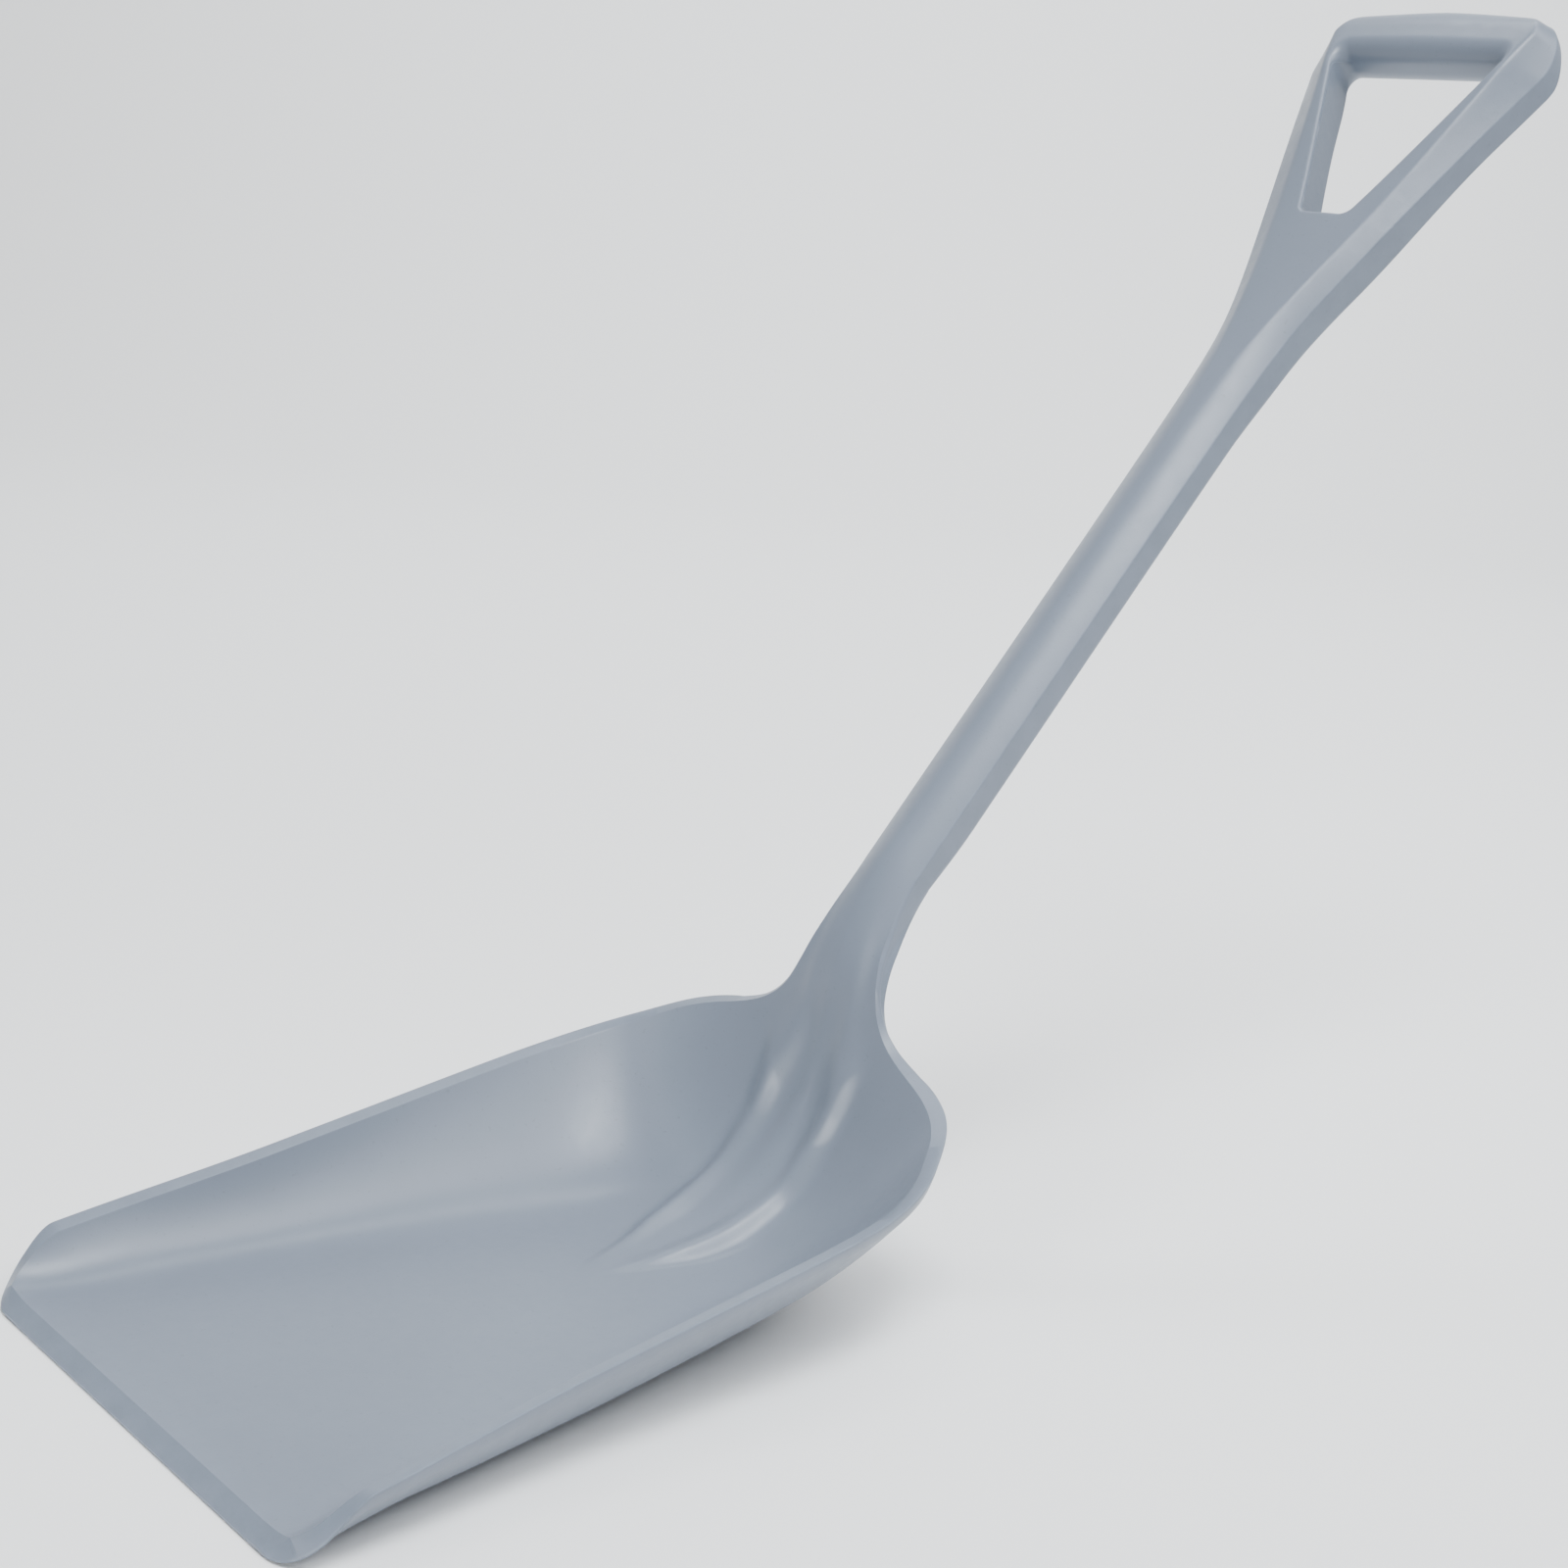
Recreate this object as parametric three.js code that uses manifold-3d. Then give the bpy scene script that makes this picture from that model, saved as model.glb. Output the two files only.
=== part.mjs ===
// D-grip ice scoop, moulded in one piece with a gas-cored handle, and the plug that seals the core.
// Millimetres. X runs across the pan, the mouth faces -Y, the handle rises toward +Y, Z is up.
// The pan's flat underside rests on z = 0, and the origin is under the middle of the whole scoop.
import * as THREE from 'three';
import { mergeVertices } from 'three/addons/utils/BufferGeometryUtils.js';
import Module from 'manifold-3d';

const wasm = await Module();
wasm.setup();

const { degToRad, lerp, clamp, smoothstep } = THREE.MathUtils;

// ---------- driving dimensions ----------
const LIFT = degToRad(48.6);      // rise of the handle above the pan's floor

// pan
const FLOOR = 6.6;                // thickness of the floor
const WALL = 6.8;                 // thickness of the wall below the rim
const NECK_WALL = 4;              // thickness of the neck beside the fairing
const EDGE_THIN = 0.9;            // thickness of the leading edge
const BEVEL = 6.4;                // length of the steep bevel behind the leading edge
const HALF_WIDTH = 125.6;         // at the rim
const FRONT_FLARE = 4.4;          // extra half width at the front of the rim
const WALL_LEAN = 6;              // outward lean of the side walls' front ends
const WALL_RUN = 32;              // length of those front ends
const CORNER_R = 17;              // front corners, in plan
const RIM_START = 21.5;           // rim height, carried forward to the leading edge
const RIM_SLOPE = 0.148;          // rise of the rim per millimetre toward the back
const RIM_BAND = 7;               // width of the flat rim
const RIM_FALL = 0.9;             // inward fall of the flat rim
const RIM_LIP = 1.6;              // height of the rim's outer edge
const FLAT_END = 215;             // the rows start to lag behind the rim here
const ROW_LAG = 22;
const SHOULDER = { x: 53, y: 294, r: 71, rise: 31 };
const BACK_ARC = { y: 257, r: 112 };
const WALL_CURVE = { front: 3.5, back: 1.8 };  // steepness of the curve from floor to rim
const NECK_TURN = 82;             // the round shoulder ends at this many degrees

// fairing that runs down from the handle onto the floor
const NOSE_Y = 220;
const RIDGE_HALF = 25;            // half spacing of its two ridges
const RIDGE_OPEN = 60;            // length over which they spread
const RIDGE_RISE = 5.5;
const RIDGE_DIP = 1.6;            // hollow between the ridges
const RIDGE_SOFT = 6;             // width of each ridge's outer flank
const SPINE_RISE = 2.5;           // low crest between the ridges, under the handle

// handle, in its own frame: a along it, x across it, n above its axis
const SHAFT_Y = 391.6;            // the axis passes here where the neck ends
const SHAFT_Z = 164;
const SHAFT_START = 10;           // the neck ends here
const SHEET_RISE = 2;             // plane, above the axis, from which the handle's surfaces are measured
const SHAFT_HALF = 18.3;
const CROWN = 13;                 // middle of the top above the axis
const GRIP_CLIMB = { mid: 440, soft: 30, slope: 0.1 };  // the crests climb toward the crossbar
const SIDE_TOP = { shaft: 4.3, grip: 9.3, from: 330, to: 520 };   // side faces' upper edge, above the axis
const SIDE_LOW = { neck: -1, shaft: -8, web: -10, grip: -4, grow: 50, swell: 290, from: 400, to: 500 };  // lower edge
const BELLY = { shaft: 4, grip: 2.5 };  // underside below that edge
const EDGE_BAND = 0.8;            // narrow flat along the handle's side edge
const FLARE = { mid: 359, soft: 30, slope: 0.295 };  // the handle widens into the grip
const CREST = { mid: 330, soft: 45, slope: 0.27 };   // the crown splits into two crests
const WEB_CROWN = 0.8;            // the web's middle above the crests
const HOLE_START = 434;           // narrow end of the grip opening
const HOLE_HALF = 14.5;
const HOLE_SPREAD = 0.37;
const HOLE_FILLET = { start: 4, end: 10 };
const BAR_MID = 558.5;            // crossbar's middle
const BAR_HALF = 15.5;            // half width of the crossbar along the handle
const BAR_RISE = 13;              // half thickness of the crossbar
const BAR_LIFT = 10.4;            // its middle above the axis
const BAR_SQUARE = 2.4;           // 2 would make its section an ellipse, more makes it fuller
const BAR_BOW = 5;                // arch of the crossbar's outer edge
const BAR_SEAM = 2.5;             // half height of its flat inner and outer seams
const GRIP_CORNER = { length: 37, depth: 25, power: 1.7 };  // cut off each outer corner of the grip

// gas core of the handle and its plug
const CORE_START = 2;
const CORE_END = 372;
const CORE_HALF = 9;
const CORE_RISE = 6;
const PLUG_AT = 352;
const PLUG_R = 4;
const PLUG_SUNK = 0.4;
const GAP = 0.3;
const HANDLE_DEPTH = BELLY.shaft - SIDE_LOW.web;  // handle's underside below the axis, at the plug

// grid density
const MID_COLUMNS = 6;            // from the middle to the side of the grip opening
const ARM_COLUMNS = 6;            // from there to the rim
const RIM_COLUMN = MID_COLUMNS + ARM_COLUMNS + 1;
const MID_SHARE = 0.44;           // middle columns' share of the handle's half width
const PAN_MID_SHARE = 0.32;
const BACK_MID_SHARE = 0.62;

// ---------- shape of the handle ----------
const ALONG = new THREE.Vector3(0, Math.cos(LIFT), Math.sin(LIFT));
const ABOVE = new THREE.Vector3(0, -Math.sin(LIFT), Math.cos(LIFT));
const UP = new THREE.Vector3(0, 0, 1);
const BAR_START = BAR_MID - BAR_HALF;
const BAR_END = BAR_MID + BAR_HALF;

const shaftPoint = (a, x, n) =>
  new THREE.Vector3(x, SHAFT_Y, SHAFT_Z).addScaledVector(ALONG, a).addScaledVector(ABOVE, n);

/** Straight rise of the given slope from mid on, with a soft start. */
function softRise(a, { mid, soft, slope }) {
  return slope * (a - mid + Math.hypot(a - mid, soft)) / 2;
}

function handleHalf(a) {
  const { length, depth, power } = GRIP_CORNER;
  const corner = clamp((a - BAR_END + length) / length, 0, 1);
  return SHAFT_HALF + softRise(a, FLARE) - depth * (1 - (1 - corner ** power) ** (1 / power));
}

/** Width that a rounded corner takes off, at a distance from its end. */
function cornerCut(distance, radius) {
  const left = clamp(radius - distance, 0, radius);
  return radius - Math.sqrt(radius ** 2 - left ** 2);
}

function holeHalf(a) {
  const corners = cornerCut(a - HOLE_START, HOLE_FILLET.start) + cornerCut(BAR_START - a, HOLE_FILLET.end);
  return HOLE_HALF + HOLE_SPREAD * (a - HOLE_START) - corners;
}

/** Half thickness of the crossbar's rounded section at a. */
function barRise(a) {
  const across = clamp((a - BAR_MID) / BAR_HALF, -1, 1);
  return Math.max(BAR_SEAM, BAR_RISE * (1 - Math.abs(across) ** BAR_SQUARE) ** (1 / BAR_SQUARE));
}

const toOuterEdge = (a) => smoothstep(a, BAR_MID, BAR_END);
const toSeam = (a) => smoothstep(a, BAR_START, BAR_END);

function sideTop(a) {
  const { shaft, grip, from, to } = SIDE_TOP;
  return lerp(lerp(shaft, grip, smoothstep(a, from, to)), BAR_LIFT + BAR_SEAM, toSeam(a));
}

function sideLow(a) {
  const { neck, shaft, web, grip, grow, swell, from, to } = SIDE_LOW;
  const onShaft = lerp(neck, shaft, smoothstep(a, -grow, grow));
  const onWeb = lerp(onShaft, web, smoothstep(a, swell, swell + grow));
  return lerp(lerp(onWeb, grip, smoothstep(a, from, to)), BAR_LIFT - BAR_SEAM, toSeam(a));
}

/** Joins an arm's height to the crossbar's; pick is Math.max on top and Math.min underneath. */
function joinBar(a, x, arm, bar, edge, pick) {
  if (a < BAR_START) return arm;
  const round = Math.sqrt(1 - clamp(Math.abs(x) / handleHalf(a), 0, 1) ** 4);
  const barHere = lerp(edge, bar, round);
  const inArm = smoothstep(Math.abs(x), holeHalf(a) - 5, holeHalf(a) + 3) * (1 - toOuterEdge(a));
  return lerp(barHere, pick(barHere, arm), inArm);
}

/** Height of the handle's top above its axis. */
function handleTop(a, x) {
  const crest = softRise(a, CREST);
  const crestTop = CROWN + softRise(a, GRIP_CLIMB);
  const outer = clamp((Math.abs(x) - crest) / (handleHalf(a) - crest), 0, 1);
  const power = lerp(1.8, 1.2, smoothstep(a, CREST.mid, HOLE_START));
  const web = WEB_CROWN * Math.max(0, 1 - (x / crest) ** 2) * smoothstep(a, CREST.mid, HOLE_START);
  const arm = crestTop - (crestTop - sideTop(a)) * outer ** power + web;
  return joinBar(a, x, arm, BAR_LIFT + barRise(a), sideTop(a), Math.max);
}

/** Height of the handle's underside above its axis, so it is mostly negative. */
function handleBelly(a, x) {
  const across = clamp(Math.abs(x) / handleHalf(a), 0, 1);
  const depth = lerp(BELLY.shaft, BELLY.grip, smoothstep(a, SIDE_LOW.from, SIDE_LOW.to));
  const arm = sideLow(a) - depth * Math.sqrt(1 - across ** 4);
  return joinBar(a, x, arm, BAR_LIFT - barRise(a), sideLow(a), Math.min);
}

// ---------- rows, from the middle plane to the rim ----------
// mid, inner and rim are points of the scoop's upper surface; solid is 0 on the pan, 1 on the handle.

function rimHeight(y) {
  return lerp(EDGE_THIN, RIM_START + RIM_SLOPE * y, smoothstep(y, -2, WALL_RUN));
}

function panHalf(y) {
  const flare = FRONT_FLARE * (1 - smoothstep(y, 20, 140));
  const lean = WALL_LEAN * (1 - smoothstep(y, -4, WALL_RUN));
  const corner = CORNER_R - Math.sqrt(CORNER_R ** 2 - Math.max(0, CORNER_R - y) ** 2);
  return HALF_WIDTH + flare - lean - corner;
}

function panRow(y) {
  const wall = smoothstep(y, 0, WALL_RUN);
  const rim = new THREE.Vector3(panHalf(y), y, rimHeight(y));
  return {
    rim,
    inner: new THREE.Vector3(rim.x - RIM_BAND, y, rim.z + lerp(FLOOR - EDGE_THIN, -RIM_FALL, wall)),
    mid: new THREE.Vector3(0, y - ROW_LAG * smoothstep(y, FLAT_END, SHOULDER.y), FLOOR),
    lip: lerp(EDGE_THIN, RIM_LIP, wall),
    wall: lerp(FLOOR, WALL, wall),
    flat: lerp(0.8, lerp(0.64, 0.42, smoothstep(y, 60, SHOULDER.y)), smoothstep(y, 0, 60)),
    curve: lerp(WALL_CURVE.front, WALL_CURVE.back, smoothstep(y, 60, SHOULDER.y)),
    share: PAN_MID_SHARE,
    bevel: Math.max(0, 1 - y / BEVEL) * (FLOOR - EDGE_THIN),
    solid: 0,
  };
}

function backArc(climb) {
  const angle = degToRad(climb);
  const reach = BACK_ARC.r * Math.sin(angle);
  return new THREE.Vector3(0, BACK_ARC.y + reach, FLOOR + BACK_ARC.r * (1 - Math.cos(angle)));
}

/** Row that ends on the round shoulder; turn goes from 0 at the side to 90 at the back. */
function shoulderRow(turn) {
  const t = turn / 90;
  const outward = new THREE.Vector3(Math.cos(degToRad(turn)), Math.sin(degToRad(turn)), 0);
  const rise = SHOULDER.rise * (0.35 * t + 0.65 * smoothstep(t, 0, 1));
  const rim = new THREE.Vector3(SHOULDER.x, SHOULDER.y, rimHeight(SHOULDER.y) + rise);
  rim.addScaledVector(outward, SHOULDER.r);
  return {
    rim,
    inner: rim.clone().addScaledVector(outward, -RIM_BAND).addScaledVector(UP, -RIM_FALL),
    mid: backArc(lerp(8, 50, t)),
    lip: RIM_LIP,
    wall: WALL,
    flat: lerp(0.42, 0.1, t),
    curve: lerp(WALL_CURVE.back, 1.6, t),
    share: lerp(PAN_MID_SHARE, BACK_MID_SHARE, t * t),
    bevel: 0,
    solid: 0,
  };
}

// rim and middle of the neck, between the shoulder's last row and the shaft's first
const NECK_RIM = new THREE.CatmullRomCurve3([
  shoulderRow(NECK_TURN - 12).rim, shoulderRow(NECK_TURN).rim,
  new THREE.Vector3(45, 365, 102.5), new THREE.Vector3(34, 365.3, 113),
  new THREE.Vector3(28, 367, 125), new THREE.Vector3(24.4, 371.7, 138),
  new THREE.Vector3(21.6, 379, 150.7), new THREE.Vector3(19.3, 387, 163.2),
  shaftPoint(SHAFT_START, SHAFT_HALF, SIDE_TOP.shaft), shaftPoint(24, SHAFT_HALF, SIDE_TOP.shaft),
]);
const NECK_MID = new THREE.CatmullRomCurve3([
  shoulderRow(NECK_TURN - 12).mid, shoulderRow(NECK_TURN).mid,
  backArc(54), backArc(64), backArc(76), backArc(88),
  new THREE.Vector3(0, 375, 136), new THREE.Vector3(0, 385, 154),
  shaftPoint(SHAFT_START, 0, SHEET_RISE), shaftPoint(24, 0, SHEET_RISE),
]);
const NECK_SPANS = 9;

/** Row of the neck; t goes from 0 at the shoulder to 1 at the shaft. */
function neckRow(t) {
  const at = lerp(1, NECK_SPANS - 1, t) / NECK_SPANS;
  const turned = degToRad(NECK_TURN) * (1 - smoothstep(t, 0, 0.5));
  const outward = new THREE.Vector3(Math.cos(turned), Math.sin(turned), 0);
  const band = lerp(RIM_BAND, EDGE_BAND, smoothstep(t, -0.1, 0.55));
  const rim = NECK_RIM.getPoint(at);
  const inner = rim.clone().addScaledVector(outward, -band);
  inner.addScaledVector(UP, -RIM_FALL * (1 - smoothstep(t, 0, 0.5)));
  inner.addScaledVector(ABOVE, (SHEET_RISE - SIDE_TOP.shaft) * smoothstep(t, 0.5, 1));
  return {
    rim,
    inner,
    mid: NECK_MID.getPoint(at),
    lip: lerp(RIM_LIP, sideTop(SHAFT_START) - sideLow(SHAFT_START), smoothstep(t, 0.5, 1)),
    wall: lerp(WALL, NECK_WALL, smoothstep(t, 0, 0.4)),
    flat: 0.1 * (1 - t),
    curve: lerp(1.6, 1.4, t),
    share: lerp(shoulderRow(NECK_TURN).share, MID_SHARE, t),
    bevel: 0,
    solid: smoothstep(t, 0.05, 1),
  };
}

function shaftRow(a) {
  const half = handleHalf(a);
  const bow = BAR_BOW * smoothstep(a, BAR_START, BAR_END);
  const holeShare = holeHalf(Math.max(a, HOLE_START)) / half;
  return {
    rim: shaftPoint(a, half, sideTop(a)),
    inner: shaftPoint(a, half - EDGE_BAND, SHEET_RISE),
    mid: shaftPoint(a + bow, 0, SHEET_RISE),
    lip: sideTop(a) - sideLow(a),
    wall: WALL,
    flat: 0,
    curve: 1.4,
    share: lerp(MID_SHARE, Math.min(0.8, holeShare), smoothstep(a, HOLE_START - 50, HOLE_START)),
    bevel: 0,
    solid: 1,
    a,
    open: a >= HOLE_START && a < BAR_START,
  };
}

const steps = (from, to, count) => Array.from({ length: count }, (_, i) => lerp(from, to, i / count));

function allRows() {
  const quarter = (from, to, count) => steps(from, to, count).map((angle) => -Math.cos(degToRad(angle)));
  const barRows = [...quarter(0, 90, 6), ...quarter(90, 180, 8), 1].map((k) => BAR_MID + BAR_HALF * k);
  const holeRows = [0, 0.6, 2, 4].map((d) => HOLE_START + d).concat(steps(HOLE_START + 12, BAR_START - 15, 4));
  const filletRows = [15, 9, 5, 2, 0.5].map((d) => BAR_START - d);
  const armRows = [...steps(SHAFT_START, 280, 6), ...steps(280, HOLE_START, 9), ...holeRows, ...filletRows];
  const rows = [
    ...[0, 0.6, 1.8, 3.6, BEVEL, 8, 12, CORNER_R, 19, 27, WALL_RUN, 44, 60].map(panRow),
    ...steps(85, SHOULDER.y, 9).map(panRow),
    ...steps(0, NECK_TURN, 11).map(shoulderRow),
    ...steps(0, 1, 14).map(neckRow),
    ...armRows.map(shaftRow),
    ...barRows.map(shaftRow),
  ];
  rows.forEach((row, i) => {
    row.run = i === 0 ? 0 : rows[i - 1].run + row.mid.distanceTo(rows[i - 1].mid);
  });
  return rows;
}

// ---------- surface grid ----------

/** Share of the half width at column c, counted from the middle. */
function columnShare(c, share) {
  return c <= MID_COLUMNS ? share * (c / MID_COLUMNS) : lerp(share, 1, (c - MID_COLUMNS) / ARM_COLUMNS);
}

function gridPoint(row, column) {
  const c = Math.abs(column);
  const point = row.rim.clone();
  if (c < RIM_COLUMN) {
    const s = columnShare(c, row.share);
    const rise = clamp((s - row.flat) / (1 - row.flat), 0, 1) ** row.curve;
    point.set(row.inner.x * s, lerp(row.mid.y, row.inner.y, s * s), lerp(row.mid.z, row.inner.z, rise));
  }
  point.x *= Math.sign(column);
  return point;
}

/** Height of the fairing above the pan, at a distance past its nose and x across. */
function fairing(past, x) {
  if (past <= 0) return 0;
  const half = RIDGE_HALF * (1 - Math.exp(-past / RIDGE_OPEN));
  const rise = RIDGE_RISE * smoothstep(past, 0, 60);
  const spine = SPINE_RISE * smoothstep(past, 70, 190) * Math.exp(-((x / 8) ** 2));
  const beyond = Math.max(0, Math.abs(x) - half) / (1.5 + RIDGE_SOFT * smoothstep(past, 0, 90));
  const hollow = 1 - (x / half) ** 2;
  const dip = hollow > 0 ? RIDGE_DIP * smoothstep(past, 20, 90) * hollow : 0;
  return (rise - dip) * Math.exp(-(beyond ** 2)) + spine;
}

/** Height of the top sheet above the grid, and of the grid above the bottom sheet. */
function offsets(row, column) {
  const s = columnShare(Math.abs(column), row.share);
  const x = row.inner.x * s;
  const thin = lerp(FLOOR, row.wall, clamp((s - row.flat) / (1 - row.flat), 0, 1) ** 2);
  const onPan = { top: fairing(row.run - NOSE_Y, x) - row.bevel, bottom: thin };
  const a = row.a ?? SHAFT_START;
  const across = row.a ? x : s * (SHAFT_HALF - EDGE_BAND);
  return {
    top: lerp(onPan.top, handleTop(a, across) - SHEET_RISE, row.solid),
    bottom: lerp(onPan.bottom, SHEET_RISE - handleBelly(a, across), row.solid ** 2),
  };
}

/** Unit normal of the grid at a row and column, from its neighbours. */
function gridNormal(rows, r, column) {
  const edge = RIM_COLUMN - 1;
  const left = gridPoint(rows[r], Math.max(column - 1, -edge));
  const right = gridPoint(rows[r], Math.min(column + 1, edge));
  const before = gridPoint(rows[Math.max(r - 1, 0)], column);
  const after = gridPoint(rows[Math.min(r + 1, rows.length - 1)], column);
  return right.sub(left).cross(after.sub(before)).normalize();
}

function sheetPoints(rows, r, column) {
  const row = rows[r];
  const point = gridPoint(row, column);
  if (Math.abs(column) === RIM_COLUMN) {
    const down = UP.clone().lerp(ABOVE, row.solid).normalize();
    return [point, point.clone().addScaledVector(down, -row.lip)];
  }
  const normal = gridNormal(rows, r, column);
  const { top, bottom } = offsets(row, column);
  const sheets = [point.clone().addScaledVector(normal, top), point.clone().addScaledVector(normal, -bottom)];
  sheets.forEach((sheet) => { sheet.y = Math.max(sheet.y, 0); });  // the mouth is cut off straight
  return sheets;
}

// ---------- solids ----------

/** Closed loft of the whole moulding, with the grip opening left out of the grid. */
function loftGeometry() {
  const rows = allRows();
  const width = 2 * RIM_COLUMN + 1;
  const positions = [];
  rows.forEach((_, r) => {
    for (let column = -RIM_COLUMN; column <= RIM_COLUMN; column++) {
      sheetPoints(rows, r, column).forEach((point) => positions.push(point.x, point.y, point.z));
    }
  });
  const id = (r, c, sheet) => 2 * (r * width + c) + sheet;
  const isSolid = (r, c) => {
    if (r < 0 || r >= rows.length - 1 || c < 0 || c >= width - 1) return false;
    const inMiddle = c >= RIM_COLUMN - MID_COLUMNS && c < RIM_COLUMN + MID_COLUMNS;
    return !(rows[r].open && inMiddle);
  };
  const index = [];
  const quad = (a, b, c, d) => index.push(a, b, c, a, c, d);
  for (let r = 0; r < rows.length - 1; r++) {
    for (let c = 0; c < width - 1; c++) {
      if (!isSolid(r, c)) continue;
      quad(id(r, c, 0), id(r, c + 1, 0), id(r + 1, c + 1, 0), id(r + 1, c, 0));
      quad(id(r, c, 1), id(r + 1, c, 1), id(r + 1, c + 1, 1), id(r, c + 1, 1));
      if (!isSolid(r - 1, c)) quad(id(r, c, 1), id(r, c + 1, 1), id(r, c + 1, 0), id(r, c, 0));
      if (!isSolid(r + 1, c)) quad(id(r + 1, c + 1, 1), id(r + 1, c, 1), id(r + 1, c, 0), id(r + 1, c + 1, 0));
      if (!isSolid(r, c - 1)) quad(id(r + 1, c, 1), id(r, c, 1), id(r, c, 0), id(r + 1, c, 0));
      if (!isSolid(r, c + 1)) quad(id(r, c + 1, 1), id(r + 1, c + 1, 1), id(r + 1, c + 1, 0), id(r, c + 1, 0));
    }
  }
  const geometry = new THREE.BufferGeometry();
  geometry.setAttribute('position', new THREE.Float32BufferAttribute(positions, 3));
  geometry.setIndex(index);
  return geometry;
}

function toManifold(geometry) {
  const bare = geometry.clone();
  bare.deleteAttribute('normal');
  bare.deleteAttribute('uv');
  const merged = mergeVertices(bare, 1e-4);
  return new wasm.Manifold(new wasm.Mesh({
    numProp: 3,
    vertProperties: new Float32Array(merged.attributes.position.array),
    triVerts: new Uint32Array(merged.index.array),
  }));
}

function toGeometry(solid) {
  const mesh = solid.getMesh();
  const geometry = new THREE.BufferGeometry();
  geometry.setAttribute('position', new THREE.Float32BufferAttribute(mesh.vertProperties, 3));
  geometry.setIndex(Array.from(mesh.triVerts));
  geometry.computeVertexNormals();
  return geometry;
}

/** Places a geometry whose Y axis points along the handle and Z axis above it. */
function alongHandle(geometry, a, n) {
  const place = new THREE.Matrix4().makeBasis(new THREE.Vector3(1, 0, 0), ALONG, ABOVE);
  place.setPosition(shaftPoint(a, 0, n));
  return geometry.applyMatrix4(place);
}

function gasCore() {
  const core = new THREE.CylinderGeometry(1, 1, CORE_END - CORE_START, 14);
  core.scale(CORE_HALF, 1, CORE_RISE);
  return alongHandle(core, (CORE_START + CORE_END) / 2, 0);
}

function plugHole() {
  const hole = new THREE.CylinderGeometry(PLUG_R + GAP, PLUG_R + GAP, 2 * HANDLE_DEPTH, 24);
  hole.rotateX(Math.PI / 2);
  return alongHandle(hole, PLUG_AT, -1.2 * HANDLE_DEPTH);
}

function bodyGeometry() {
  const body = toManifold(loftGeometry()).subtract(toManifold(gasCore())).subtract(toManifold(plugHole()));
  return toGeometry(body);
}

/** Round plug with a chamfered outer face, just below the handle's underside. */
function plugGeometry() {
  const face = -HANDLE_DEPTH + PLUG_SUNK;
  const profile = [[0, face], [PLUG_R - 0.6, face], [PLUG_R, face + 0.6], [PLUG_R, -CORE_RISE - GAP], [0, -CORE_RISE - GAP]];
  const plug = new THREE.LatheGeometry(profile.map(([x, y]) => new THREE.Vector2(x, y)), 24);
  plug.rotateX(Math.PI / 2);
  return alongHandle(plug, PLUG_AT, 0);
}

// ---------- materials and assembly ----------
const bodyPlastic = new THREE.MeshStandardMaterial({ color: 0x98a0a8, roughness: 0.42, metalness: 0 });
const plugPlastic = new THREE.MeshStandardMaterial({ color: 0x8b939b, roughness: 0.5, metalness: 0 });

function part(name, geometry, material) {
  const mesh = new THREE.Mesh(geometry, material);
  mesh.name = name;
  return mesh;
}

const body = bodyGeometry();
body.computeBoundingBox();

const scoop = new THREE.Group();
scoop.add(part('scoop_body', body, bodyPlastic));
scoop.add(part('core_plug', plugGeometry(), plugPlastic));
scoop.position.y = -(body.boundingBox.min.y + body.boundingBox.max.y) / 2;

export default scoop;
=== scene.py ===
"""Ice scoop: fine visual model, materials, studio and camera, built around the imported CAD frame."""

import math

import bpy
import numpy as np
from mathutils import Matrix, Vector


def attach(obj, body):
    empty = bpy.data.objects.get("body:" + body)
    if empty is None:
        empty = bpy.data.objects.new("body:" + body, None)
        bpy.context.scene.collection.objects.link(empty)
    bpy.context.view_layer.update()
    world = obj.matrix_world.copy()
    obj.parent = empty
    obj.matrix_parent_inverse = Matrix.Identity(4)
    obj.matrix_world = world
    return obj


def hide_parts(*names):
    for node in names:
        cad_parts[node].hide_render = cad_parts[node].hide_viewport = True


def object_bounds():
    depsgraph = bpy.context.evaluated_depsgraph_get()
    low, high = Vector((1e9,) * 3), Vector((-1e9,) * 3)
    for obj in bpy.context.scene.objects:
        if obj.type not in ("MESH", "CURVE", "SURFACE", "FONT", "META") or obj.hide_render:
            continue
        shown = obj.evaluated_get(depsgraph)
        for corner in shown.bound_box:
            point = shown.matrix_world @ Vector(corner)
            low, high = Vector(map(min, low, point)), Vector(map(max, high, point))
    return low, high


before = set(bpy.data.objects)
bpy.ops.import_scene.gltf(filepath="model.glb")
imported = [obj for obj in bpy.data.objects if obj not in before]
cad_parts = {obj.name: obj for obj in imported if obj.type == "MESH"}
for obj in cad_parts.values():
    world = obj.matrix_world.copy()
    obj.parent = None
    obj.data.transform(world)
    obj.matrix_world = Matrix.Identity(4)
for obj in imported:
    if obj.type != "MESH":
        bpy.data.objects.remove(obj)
cad_low, cad_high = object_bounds()

MM = 0.001
FRONT = cad_low.y / MM  # the leading edge; every y given in millimetres is counted back from it

# ---------- dimensions, in millimetres and degrees ----------
LIFT = math.radians(48.6)  # rise of the handle above the pan's floor

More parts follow.
